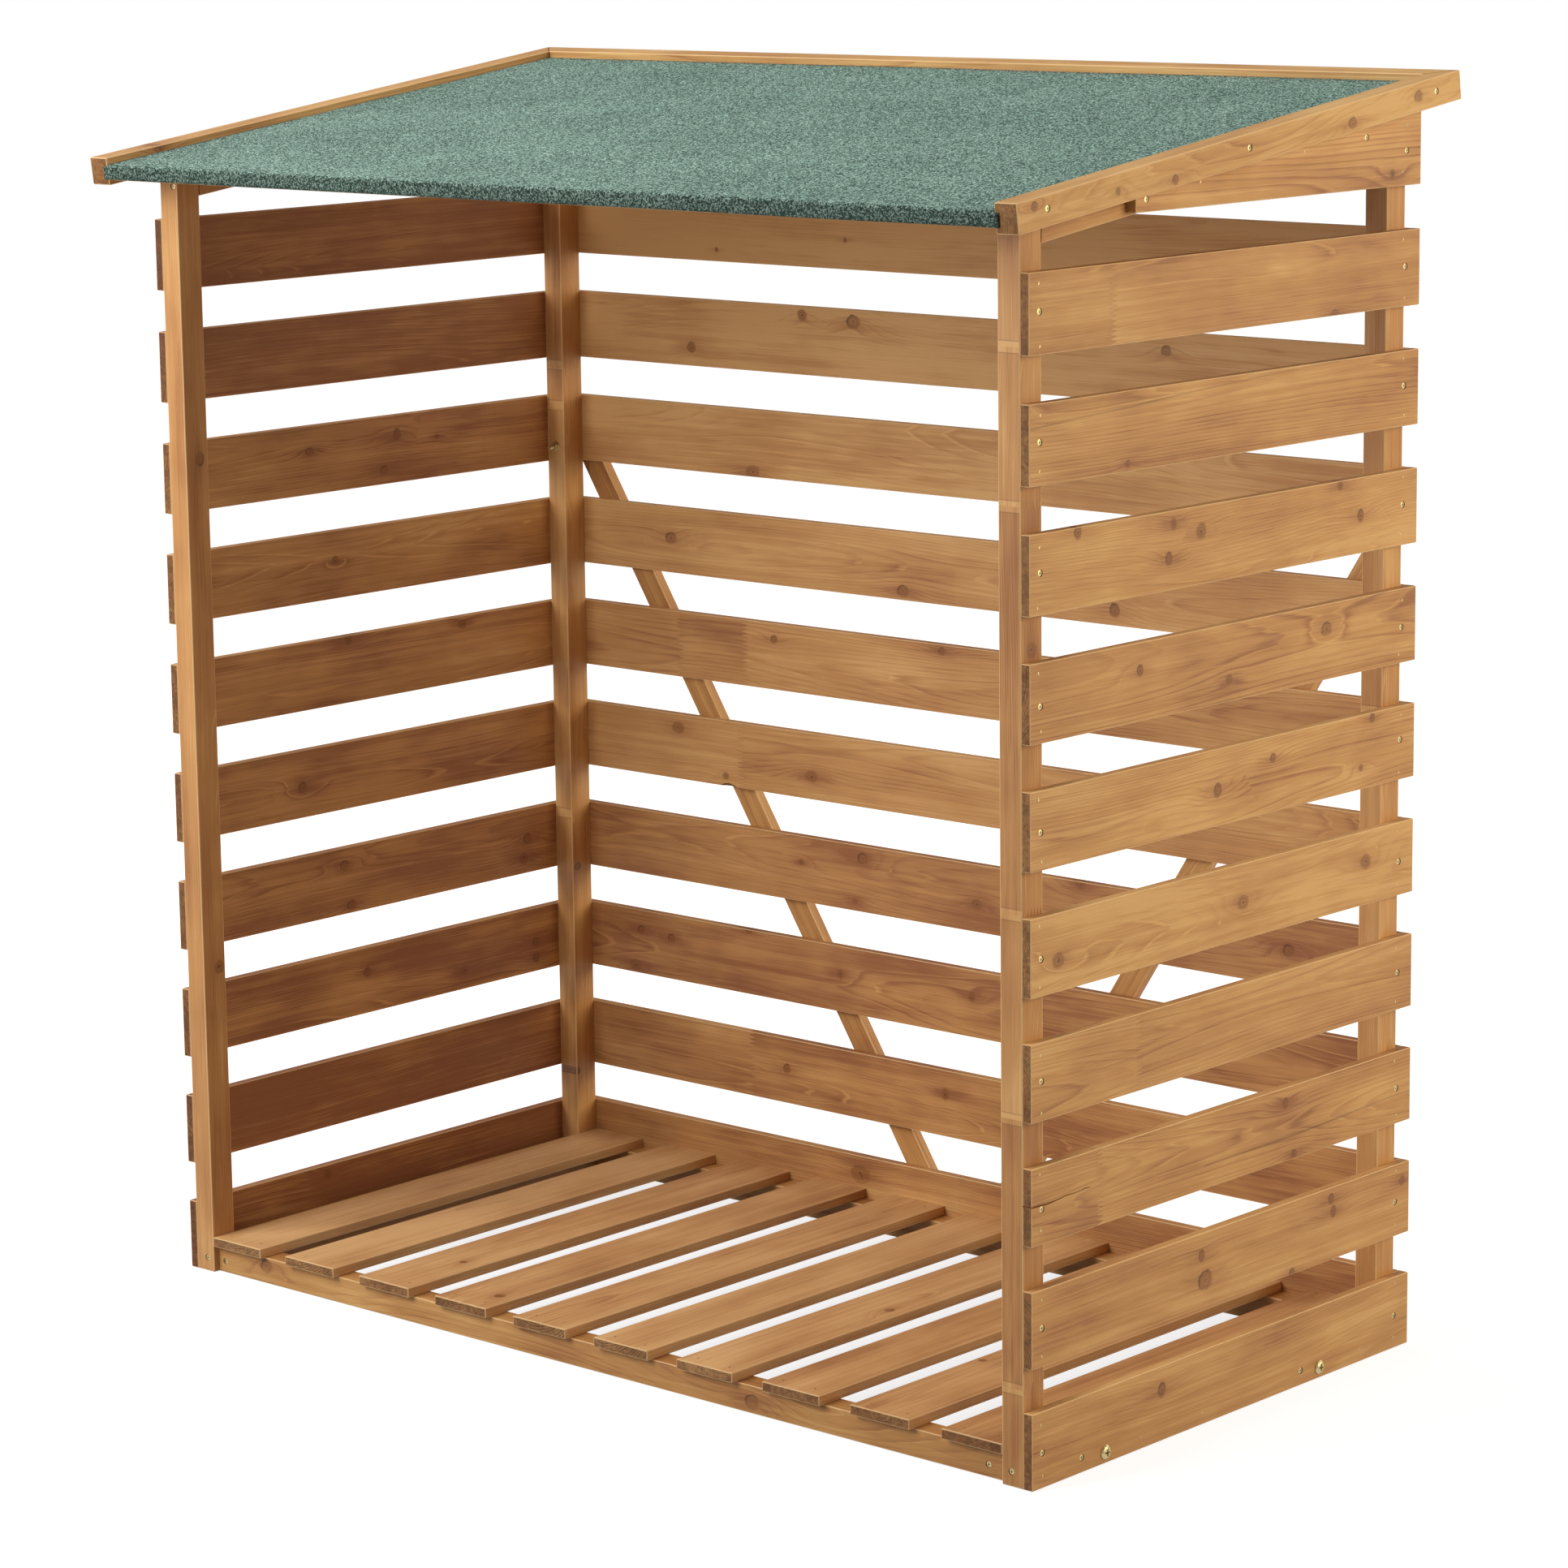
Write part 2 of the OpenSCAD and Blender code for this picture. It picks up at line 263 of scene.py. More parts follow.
# Growth rings, cut nearly flat, so that they run almost straight along the board.
drift = calc(t, "MULTIPLY_ADD", u, 1.3, calc(t, "MULTIPLY", chance.outputs[0], 60.0))
lean = add(t, "TexNoise", None, drift, 1.0, 0.0, noise_dimensions="1D")
sink = add(t, "TexNoise", None, calc(t, "ADD", drift, 7.3), 1.0, 0.0, noise_dimensions="1D")
side = calc(t, "MULTIPLY_ADD", lean, 0.04, calc(t, "ADD", v, -0.02))
side = calc(t, "ADD", side, calc(t, "MULTIPLY_ADD", chance.outputs[0], 0.09, -0.045))
depth = calc(t, "MULTIPLY_ADD", sink, 0.03, w)
depth = calc(t, "ADD", depth, calc(t, "MULTIPLY_ADD", chance.outputs[1], 0.05, 0.015))
radius = calc(t, "SQRT", calc(t, "MULTIPLY_ADD", side, side, calc(t, "MULTIPLY", depth, depth)))
radius = calc(t, "ADD", radius, calc(t, "MULTIPLY", bulge, calc(t, "MULTIPLY", size, 0.6)))
radius = calc(t, "MULTIPLY_ADD", wavy, 0.004, radius)
radius = calc(t, "MULTIPLY_ADD", streak, 0.0008, radius)
ring = calc(t, "DIVIDE", radius, calc(t, "MULTIPLY_ADD", chance.outputs[2], 0.0016, 0.0018))
which = calc(t, "FLOOR", ring)
ring = calc(t, "FRACT", ring)
late = calc(t, "MULTIPLY", ease(t, ring, 0.45, 0.88), ease(t, ring, 0.92, 1.0, 1, 0))
strength = add(t, "TexWhiteNoise", None, calc(t, "ADD", which, calc(t, "MULTIPLY", seed, 31.0)),
               noise_dimensions="1D")
late = calc(t, "MULTIPLY", late, calc(t, "MULTIPLY_ADD", strength, 0.8, 0.2))
pale_line = calc(t, "MULTIPLY", ease(t, calc(t, "ABSOLUTE", calc(t, "SUBTRACT", ring, 0.93)), 0.0, 0.13, 1, 0),
                 ease(t, calc(t, "MULTIPLY_ADD", strength, 0.45, streak), 0.22, 0.42))

# How dark the stain stands: growth rings, fibres, streaks, blotches, the board's tone, and knots. On the left
# and back walls the listed tones also hold painted shade and painted light.
shade = calc(t, "MULTIPLY_ADD", calc(t, "SUBTRACT", late, 0.15), calc(t, "MULTIPLY", figure, 0.7), 0.40)
lines = ease(t, fibre, 0.1, 0.24)
cuts = ease(t, fibre, -0.24, -0.1, 1, 0)
for value, much in ((fibre, 0.3), (streak, 0.5), (blotch, 1.2), (mottle, 0.2), (halo, 0.3), (pale_line, -0.42),
                    (lines, -0.2), (cuts, 0.2), (band, -0.34)):
    shade = calc(t, "MULTIPLY_ADD", value, much, shade)
shade = calc(t, "ADD", shade, calc(t, "MULTIPLY_ADD", tone, 0.5, -0.25))
shade = calc(t, "ADD", shade, calc(t, "MULTIPLY", calc(t, "MINIMUM", length, 1.0),
                                   calc(t, "MULTIPLY_ADD", chance.outputs[1], 0.24, -0.09)))
shade = calc(t, "MINIMUM", calc(t, "MAXIMUM", shade, 0.0), 1.0)
colour = blend(t, ease(t, shade, 0.0, 0.5), given.outputs["Pale"], given.outputs["Honey"])
colour = blend(t, ease(t, shade, 0.4, 1.0), colour, given.outputs["Brown"])
heart = ease(t, calc(t, "SINE", calc(t, "MULTIPLY", distance, 15.0)), -0.7, 0.9, 0.5, 0.86)
colour = blend(t, calc(t, "MULTIPLY", core, heart), colour, (0.225, 0.082, 0.020, 1))
colour = blend(t, calc(t, "MULTIPLY", calc(t, "MAXIMUM", rim, pith), 0.8), colour, (0.095, 0.031, 0.007, 1))
colour = blend(t, calc(t, "MULTIPLY", glue, 0.4), colour, (0.12, 0.05, 0.02, 1))

# A dark resin vein crosses a board here and there, from a start on, at its own height and lean.
vein = t.nodes.new("ShaderNodeSeparateXYZ")
t.links.new(add(t, "Attribute", attribute_name="vein", out=1), vein.inputs[0])
track = calc(t, "SUBTRACT", v, calc(t, "MULTIPLY_ADD", u, vein.outputs[1], vein.outputs[0]))
track = calc(t, "ABSOLUTE", calc(t, "MULTIPLY_ADD", wavy, 0.007, track))
track = calc(t, "MULTIPLY", ease(t, track, 0.0002, 0.0017, 0.62, 0), calc(t, "GREATER_THAN", u, vein.outputs[2]))
colour = blend(t, calc(t, "MULTIPLY", track, ease(t, blotch, -0.25, 0.1, 0.4, 1.0)), colour, (0.15, 0.060, 0.016, 1))

# Saw-cut ends drink more stain. The countersinks, the split and the chips get the same darker colour, as painted
# shade in these hollows. The eased arrises are painted lighter, partly for thin stain, partly as a painted highlight.
end = add(t, "Attribute", attribute_name="end", out=2)
arris = add(t, "Attribute", attribute_name="arris", out=2)
end_and_hollow_shade = blend(t, ease(t, calc(t, "ADD", mottle, ragged), -0.3, 0.3), (0.34, 0.28, 0.24, 1), (0.58, 0.51, 0.45, 1))
end_and_hollow_shade = blend(t, 1.0, colour, end_and_hollow_shade, "MULTIPLY")
end_and_hollow_shade = blend(t, calc(t, "MULTIPLY", late, 0.9), end_and_hollow_shade, (0.045, 0.020, 0.009, 1))
# The darker end colour also paints shade into the countersinks, the split and the chips.
colour = blend(t, end, colour, end_and_hollow_shade)
# Painted highlight, together with thin stain, on the eased arrises.
colour = blend(t, calc(t, "MULTIPLY", arris, 0.7), colour, (0.80, 0.53, 0.26, 1))

made = t.nodes.new("NodeGroupOutput")
t.links.new(colour, made.inputs["Color"])
t.links.new(calc(t, "MULTIPLY_ADD", streak, 0.2, calc(t, "MULTIPLY_ADD", end, 0.25, 0.5)), made.inputs["Roughness"])
t.links.new(fibre, made.inputs["Height"])

woods = {}
for name, pale, honey, brown in (
        ("post_wood", (0.66, 0.370, 0.140), (0.50, 0.240, 0.080), (0.31, 0.120, 0.038)),
        ("slat_wood", (0.67, 0.390, 0.152), (0.52, 0.262, 0.092), (0.29, 0.110, 0.042)),
        ("frame_wood", (0.64, 0.365, 0.130), (0.49, 0.240, 0.074), (0.28, 0.100, 0.031)),
        ("floor_wood", (0.72, 0.430, 0.190), (0.58, 0.308, 0.124), (0.35, 0.145, 0.050)),
        ("edge_wood", (0.68, 0.410, 0.155), (0.53, 0.272, 0.090), (0.32, 0.120, 0.034)),
        ("deck_wood", (0.60, 0.335, 0.125), (0.45, 0.220, 0.072), (0.22, 0.082, 0.026))):
    wood = bpy.data.materials.new(name)
    wood.use_nodes = True
    surface = wood.node_tree.nodes["Principled BSDF"]
    body = wood.node_tree.nodes.new("ShaderNodeGroup")
    body.node_tree = softwood
    for socket, value in zip(body.inputs, (pale, honey, brown)):
        socket.default_value = (*value, 1)
    bump = wood.node_tree.nodes.new("ShaderNodeBump")
    bump.inputs["Strength"].default_value = 0.5
    bump.inputs["Distance"].default_value = 0.0006
    wood.node_tree.links.new(body.outputs["Color"], surface.inputs["Base Color"])
    wood.node_tree.links.new(body.outputs["Roughness"], surface.inputs["Roughness"])
    wood.node_tree.links.new(body.outputs["Height"], bump.inputs["Height"])
    wood.node_tree.links.new(bump.outputs["Normal"], surface.inputs["Normal"])
    surface.inputs["Specular IOR Level"].default_value = 0.34
    body.inputs["Band"].default_value = 1.0 if name == "post_wood" else 0.0
    woods[name] = wood

# ---- Screws, nails and bolts ----
# Zinc-plated countersunk screws hold each slat to its posts, with a nail above and below from assembly; pan
# head bolts hold the floor frame to the bottom rails.
screws = {"left_wall_slats": [], "right_wall_slats": [], "back_wall_slats": [], "left_top_slat": [],
          "right_top_slat": [], "left_roof_edge": [], "right_roof_edge": [], "back_roof_edge": [],
          "front_left_post": [], "front_right_post": [], "floor_front_rail": [], "left_back_brace": [],
          "right_back_brace": []}
nails = []
pitch = math.radians(7.3)
slope = Vector((0, math.cos(pitch), math.sin(pitch)))
square_up = Vector((0, -slope.z, slope.y))
wander_of = random.Random(11)
front_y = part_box("front_left_post")[0].y
rear_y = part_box("back_left_post")[1].y
out_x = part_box("right_wall_slats")[1].x
slat_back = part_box("back_wall_slats")[1].y
post_x = 0.634
rise = 0.1325
half_slat = 0.042
# Each wall slat has a screw at each post, with a nail above and below it.
for course in range(10):
    mid = course * rise + half_slat
    for hand, node in ((-1, "left_wall_slats"), (1, "right_wall_slats")):
        for y in (front_y + 0.017, rear_y - 0.0155):
            shift = wander_of.uniform(-0.004, 0.004)
            screws[node].append((Vector((hand * out_x, y, mid + shift)), Vector((hand, 0, 0))))
            for dz in (0.031, -0.030):
                nails.append((Vector((hand * out_x, y - 0.002 + wander_of.uniform(-0.003, 0.003),
                                      mid + dz + wander_of.uniform(-0.004, 0.004))), Vector((hand, 0, 0))))
for course in range(11):
    mid = course * rise + half_slat
    for x in (-post_x, post_x):
        shift = wander_of.uniform(-0.004, 0.004)
        screws["back_wall_slats"].append((Vector((x, slat_back, mid + shift)), Vector((0, 1, 0))))
        for dz in (0.029, -0.029):
            nails.append((Vector((x + wander_of.uniform(-0.004, 0.004), slat_back,
                                  mid + dz + wander_of.uniform(-0.004, 0.004))), Vector((0, 1, 0))))
# The wedge-shaped top slats, then the roof edge boards, fixed along the top rails.
for hand, node in ((-1, "left_top_slat"), (1, "right_top_slat")):
    for y, z in ((-0.129, 1.338), (0.260, 1.381), (0.336, 1.363)):
        screws[node].append((Vector((hand * out_x, y, z)), Vector((hand, 0, 0))))
    for y, z in ((-0.038, 1.3505), (0.145, 1.372), (0.335, 1.391), (0.328, 1.340)):
        nails.append((Vector((hand * out_x, y, z)), Vector((hand, 0, 0))))
edge_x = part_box("right_roof_edge")[1].x
for hand, node in ((-1, "left_roof_edge"), (1, "right_roof_edge")):
    for y, z in ((-0.336, 1.343), (-0.001, 1.385), (0.338, 1.428)):
        screws[node].append((Vector((hand * edge_x, y, z)), Vector((hand, 0, 0))))
# The lowest side slats also hold the bottom rails, and the posts and the front rail hold the floor frame.
for hand, node in ((-1, "left_wall_slats"), (1, "right_wall_slats")):
    for y in (-0.238, 0.155):
        screws[node].append((Vector((hand * out_x, y, 0.0165)), Vector((hand, 0, 0))))
    for y in (-0.137, -0.028, 0.268):
        nails.append((Vector((hand * out_x, y, 0.0135)), Vector((hand, 0, 0))))
for x, z, node in ((-0.631, 0.0165, "front_left_post"), (-0.626, 1.316, "front_left_post"),
                   (0.632, 0.0165, "front_right_post")):
    screws[node].append((Vector((x, front_y, z)), Vector((0, -1, 0))))
for x in (-0.608, 0.594):
    screws["floor_front_rail"].append((Vector((x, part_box("floor_front_rail")[0].y, 0.014)), Vector((0, -1, 0))))
# The back edge board, the braces, and two nails at each end of each floor board.
for x in (-0.62, -0.21, 0.21, 0.62):
    screws["back_roof_edge"].append((Vector((x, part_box("back_roof_edge")[1].y, 1.431)), slope))
for hand, node in ((-1, "left_back_brace"), (1, "right_back_brace")):
    for z in (0.052, 0.572):
        screws[node].append((Vector((hand * (0.022 + z * 0.6405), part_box(node)[1].y, z)), Vector((0, 1, 0))))
for number in range(10):
    middle = -0.5775 + number * 0.12833
    for y in (-0.3045, 0.334):
        for dx in (-0.024, 0.024):
            nails.append((Vector((middle + dx + wander_of.uniform(-0.003, 0.003), y + wander_of.uniform(-0.002, 0.002),
                                  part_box("floor_board_1")[1].z)), Vector((0, 0, 1))))

# One slat has split from its front end to past the screw, one has lost a chip from its lower edge, and the
# foot of a post is bruised.
chips = {"right_wall_slats": [("split", (0.6545, -0.2745, 0.3075), (0.03, 0.104, 0.0017))],
         "back_wall_slats": [("bowl", (-0.375, 0.3500, 0.5298), (0.015, 0.007, 0.0052))],
         "front_right_post": [("bowl", (0.6490, -0.3040, 0.0), (0.0016, 0.008, 0.007))]}

# ---- Posts ----
# Four finger-jointed softwood posts, 29 by 34.5 mm, with tops cut to the roof slope. Like every timber piece
# they keep the CAD solid, and get planed, slightly eased arrises, the countersinks of their screws, and the
# marks that each board's grain follows.


def upright(normal):
    """Turns +Z to the way that a fixing faces."""
    return normal.to_track_quat("Z", "Y").to_matrix().to_4x4()


def eased(node, width):
    """The CAD solids of a node, merged, with their arrises eased."""
    bm = bmesh.new()
    bm.from_mesh(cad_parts[node].data)
    bmesh.ops.remove_doubles(bm, verts=bm.verts, dist=1e-6)
    bmesh.ops.dissolve_limit(bm, angle_limit=0.02, verts=bm.verts, edges=bm.edges)
    bmesh.ops.bevel(bm, geom=bm.edges[:], offset=width, offset_type="OFFSET", segments=2, profile=0.5,
                    affect="EDGES", clamp_overlap=True, material=-1)
    return bm


def drilled(bm, holes, chips=None):
    """Takes countersinks, splits and chips out of a bmesh."""
    plain = bpy.data.meshes.new("plain")
    bm.to_mesh(plain)
    bm.free()
    if holes or chips:
        cutter = bmesh.new()
        for kind, where, size in chips or ():
            place = Matrix.Translation(where) @ Matrix.Diagonal((*size, 1))
            if kind == "split":
                # A jagged crack: a thin cutter that steps up and down along the slat and closes to a point.
                bmesh.ops.create_cube(cutter, size=1.0)
                for cut_y, lift, width in ((-0.4, 0.3, 0.9), (-0.22, -0.5, 1.2), (-0.05, 0.4, 0.7), (0.1, 1.0, 0.9),
                                           (0.27, 0.8, 0.4), (0.42, 1.5, 0.9)):
                    part = [g for g in cutter.verts[:] + cutter.edges[:] + cutter.faces[:]]
                    bmesh.ops.bisect_plane(cutter, geom=part, dist=1e-5, plane_co=(0, cut_y, 0), plane_no=(0, 1, 0))
                    for vert in cutter.verts:
                        if abs(vert.co.y - cut_y) < 1e-4:
                            vert.co.z = vert.co.z * width + lift
                for vert in cutter.verts:
                    if vert.co.y > 0.49:
                        vert.co.z = vert.co.z * 0.2 + 1.6
                bmesh.ops.transform(cutter, matrix=place, verts=cutter.verts)
            else:
                bmesh.ops.create_icosphere(cutter, subdivisions=1, radius=1.0, matrix=place)
        for where, normal in holes or ():
            bmesh.ops.create_cone(cutter, cap_ends=True, segments=16, radius1=0.0030, radius2=0.0042, depth=0.0042,
                                  matrix=Matrix.Translation(where - normal * 0.0008) @ upright(normal))
        cut_mesh = bpy.data.meshes.new("cut")
        cutter.to_mesh(cut_mesh)
        cutter.free()
        body = bpy.data.objects.new("body", plain)
        tool = bpy.data.objects.new("tool", cut_mesh)
        scene.collection.objects.link(body)
        scene.collection.objects.link(tool)
        cut = body.modifiers.new("cut", "BOOLEAN")
        cut.operation, cut.solver, cut.object = "DIFFERENCE", "EXACT", tool
        cut.use_self = bool(chips)
        bpy.context.view_layer.update()
        drilled_mesh = bpy.data.meshes.new_from_object(body.evaluated_get(bpy.context.evaluated_depsgraph_get()))
        bpy.data.objects.remove(body)
        bpy.data.objects.remove(tool)
        plain = drilled_mesh
    bm = bmesh.new()
    bm.from_mesh(plain)
    return bm


def islands(bm):
    """The separate boards of a bmesh, each a list of its vertices, from low to high and from left to right."""
    left, found = set(bm.verts), []
    for start in bm.verts:
        if start not in left:
            continue
        left.remove(start)
        group, queue = [start], [start]
        while queue:
            for edge in queue.pop().link_edges:
                for vert in edge.verts:
                    if vert in left:
                        left.remove(vert)
                        group.append(vert)
                        queue.append(vert)
        found.append(group)
    centre = lambda g: sum((p.co for p in g), Vector()) / len(g)
    return sorted(found, key=lambda g: tuple(round(c, 3) for c in reversed(centre(g))))


def grained(bm, name, wood, along, across, marks=(), joints=(), figure=(0.3, 0.8), tone=(0.3, 0.7), knots=(0, 2),
            saw=1.0, veins=None):
    """Makes the piece, and writes onto each board its own coordinates, knots, joints and resin vein.

    A mark is the place of a knot and its radius in millimetres. A tone of more than two numbers has one for each
    board, from low to high. Saw says how much darker the ends are, and how much painted shade the hollows get.
    """
    along, across = Vector(along).normalized(), Vector(across).normalized()
    through = along.cross(across)
    grain_layer = bm.verts.layers.float_vector.new("grain")
    board_layer = bm.verts.layers.float_vector.new("board")
    vein_layer = bm.verts.layers.float_vector.new("vein")
    joint_layers = [bm.verts.layers.float_vector.new("joints_" + letter) for letter in "ab"]
    spot_layers = [bm.verts.layers.float_vector.new("spot_" + letter) for letter in "abcdef"]
    end_and_hollow_shade_layer = bm.faces.layers.float.new("end")
    arris_layer = bm.faces.layers.float.new("arris")
    boxes = []
    for number, group in enumerate(islands(bm)):
        luck = random.Random(f"{name}{number}")
        flat = [Vector((p.co.dot(along), p.co.dot(across), p.co.dot(through))) for p in group]
        low = Vector(min(p[i] for p in flat) for i in range(3))
        high = Vector(max(p[i] for p in flat) for i in range(3))
        centre, half = (low + high) / 2, (high - low) / 2
        boxes.append((group, low, high))
        spots = []
        for x, y, z, r in marks:
            point = Vector((x, y, z))
            here = Vector((point.dot(along), point.dot(across), point.dot(through))) - centre
            if all(abs(here[i]) < half[i] + 0.006 for i in range(3)):
                spots.append((here.x, here.y, r / 1000))
        if not spots:
            for _ in range(luck.randint(*knots)):
                spots.append((luck.uniform(-0.9, 0.9) * half.x, luck.uniform(-0.8, 0.8) * half.y,
                              luck.uniform(0.0035, 0.0065)))
        spots = sorted(spots, key=lambda s: -s[2])[:6]
        spots += [(9.0, 9.0, 0.001)] * (6 - len(spots))
        glued = []
        for x, y, z in joints:
            point = Vector((x, y, z))
            here = Vector((point.dot(along), point.dot(across), point.dot(through))) - centre
            if all(abs(here[i]) < half[i] + 0.006 for i in range(3)):
                glued.append(here.x)
        glued = (glued + [9.0] * 6)[:6]
        # On the left and back walls the listed tones include painted shade and painted light.
        stain = tone[number] if len(tone) > 2 else luck.uniform(*tone)
        vein = Vector((veins or {}).get(number, (9.0, 0.0, 0.0)))
        own = Vector((luck.random(), stain, luck.uniform(*figure)))
        for vert, p in zip(group, flat):
            vert[grain_layer] = p - centre
            vert[board_layer] = own
            vert[vein_layer] = vein
            for layer, first in zip(joint_layers, (0, 3)):
                vert[layer] = Vector(glued[first:first + 3])
            for layer, s in zip(spot_layers, spots):
                vert[layer] = Vector(s)
    # The sawn ends, the hollows that get painted shade, and the eased arrises are marked face by face.
    for group, low, high in boxes:
        for face in {face for vert in group for face in vert.link_faces}:
            n, p = face.normal, face.calc_center_median()
            turned = [abs(n.dot(axis)) for axis in (along, across, through)]
            there = [p.dot(axis) for axis in (along, across, through)]
            near = sum(min(there[i] - low[i], high[i] - there[i]) < 0.0016 for i in range(3))
            # Sawn ends, and the hollows of countersinks, split and chips, which get painted shade.
            face[end_and_hollow_shade_layer] = saw if turned[0] > 0.75 or (max(turned) < 0.995 and near < 2) else 0.0
            # Arrises, which get thin stain and a painted highlight.
            face[arris_layer] = 1.0 if max(turned) < 0.995 and near > 1 else 0.0
    mesh = bpy.data.meshes.new(name)
    bm.to_mesh(mesh)
    bm.free()
    mesh.materials.clear()
    mesh.materials.append(woods[wood])
    for polygon in mesh.polygons:
        polygon.material_index = 0
    piece = bpy.data.objects.new(name, mesh)
    scene.collection.objects.link(piece)
    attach(piece, "root")
    return piece


for node, tone, marks, joints in (
        ("front_left_post", 0.62, [(-0.6195, -0.300, 0.994, 5.7), (-0.6195, -0.297, 0.377, 6.7)], []),
        ("front_right_post", 0.72, [(0.6485, -0.304, 0.891, 7.6)],
         [(0.633, front_y, z) for z in (1.201, 1.039, 0.616, 0.399, 0.108)]),
        ("back_left_post", 0.35, [(-0.6195, 0.325, 0.400, 5.7), (-0.630, 0.316, 0.128, 5.7)],
         [(-post_x, 0.33, 1.000), (-post_x, 0.33, 1.052), (-post_x, 0.33, 0.47)]),
        ("back_right_post", 0.5, [], [(post_x, 0.33, 0.74), (post_x, 0.33, 1.21)])):
    post = grained(drilled(eased(node, 0.0012), screws.get(node), chips.get(node)), node + "_timber", "post_wood",
                   (0, 0, 1), (0, 1, 0), marks, joints, figure=(0.12, 0.3), tone=(tone, tone))
    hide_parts(node)

# ---- Rails ----
# Softwood rails between the posts: one at the foot of each side, a sloping one under the roof on each side, and
# the four that frame the floor. They are screwed from outside.
for node, along, across in (("left_bottom_rail", (0, 1, 0), (0, 0, 1)), ("right_bottom_rail", (0, 1, 0), (0, 0, 1)),
                            ("floor_front_rail", (1, 0, 0), (0, 0, 1)), ("floor_back_rail", (1, 0, 0), (0, 0, 1)),
                            ("floor_left_rail", (0, 1, 0), (0, 0, 1)), ("floor_right_rail", (0, 1, 0), (0, 0, 1)),
                            ("left_top_rail", slope, square_up), ("right_top_rail", slope, square_up)):
    marks = [(-0.534, -0.3128, 0.021, 7.6), (0.256, -0.3128, 0.013, 7.6)] if node == "floor_front_rail" else []
    rail = grained(drilled(eased(node, 0.001), screws.get(node)), node + "_timber", "frame_wood", along, across, marks,
                   figure=(0.25, 0.55))
    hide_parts(node)

# ---- Wall slats ----
# Planed boards of 84 by 12 mm, screwed and nailed to the outside of the side posts and to the back of the back
# posts. The knots stand where the picture shows them: place along the wall, height, and radius in millimetres.
right_knots = [
    (-0.243, 1.006, 6.7), (-0.082, 0.997, 5.7), (-0.034, 0.984, 7.6), (-0.090, 0.961, 6.7), (0.216, 1.007, 5.7),
    (0.255, 0.969, 6.7), (0.310, 0.935, 4.8), (0.193, 0.851, 6.7), (-0.139, 0.849, 5.7), (0.016, 0.819, 4.8),
    (-0.003, 0.701, 7.6), (0.096, 0.722, 4.8), (0.260, 0.687, 3.8), (0.281, 0.740, 4.8), (0.271, 0.579, 7.6),
    (0.043, 0.571, 7.6), (-0.276, 0.563, 7.6), (0.123, 0.331, 5.7), (0.139, 0.269, 5.7), (0.211, 0.203, 5.7),
    (0.215, 0.188, 6.7), (-0.029, 0.191, 5.7), (-0.022, 0.162, 10.0), (0.137, 0.133, 5.7), (0.349, 0.195, 4.8),
    (-0.099, 0.057, 7.6), (0.204, 1.193, 5.7), (-0.16, 1.068, 3.8)]
left_knots = [
    (-0.097, 0.980, 4.8), (0.051, 0.987, 6.7), (0.119, 0.978, 2.9), (0.027, 0.945, 4.8), (-0.059, 0.842, 4.8),
    (0.156, 0.736, 4.8), (-0.041, 0.741, 6.7), (-0.125, 0.567, 6.7), (-0.059, 0.459, 5.7), (-0.049, 0.407, 5.7),
    (0.256, 0.417, 6.7), (0.264, 0.442, 5.7), (-0.025, 0.317, 5.7), (0.145, 0.289, 4.8), (0.275, 0.303, 5.7),
    (0.275, 0.282, 5.7), (-0.103, 0.072, 5.7)]
back_knots = [
    (-0.382, 1.207, 2.9), (-0.170, 1.228, 2.9), (-0.241, 1.133, 6.7), (-0.158, 1.129, 7.6), (-0.427, 1.083, 6.7),
    (0.319, 1.122, 5.7), (-0.326, 0.934, 7.6), (-0.467, 0.839, 6.7), (-0.082, 0.806, 6.7), (0.244, 0.813, 7.6),
    (-0.294, 0.726, 4.8), (-0.021, 0.738, 4.8), (-0.460, 0.596, 6.7), (-0.234, 0.559, 6.7), (-0.379, 0.543, 4.8),
    (-0.151, 0.465, 6.7), (-0.253, 0.448, 3.8), (-0.164, 0.410, 3.8), (0.032, 0.432, 5.7), (0.193, 0.478, 5.7),
    (0.498, 0.440, 6.7), (-0.531, 0.323, 4.8), (-0.478, 0.319, 4.8), (-0.542, 0.275, 6.7), (-0.343, 0.349, 4.8),
    (-0.190, 0.313, 5.7), (0.023, 0.315, 5.7), (0.465, 0.305, 4.8), (-0.281, 0.177, 5.7), (-0.020, 0.186, 6.7),
    (-0.159, 0.060, 10.5)]
side_x = 0.6545
back_y = 0.3567
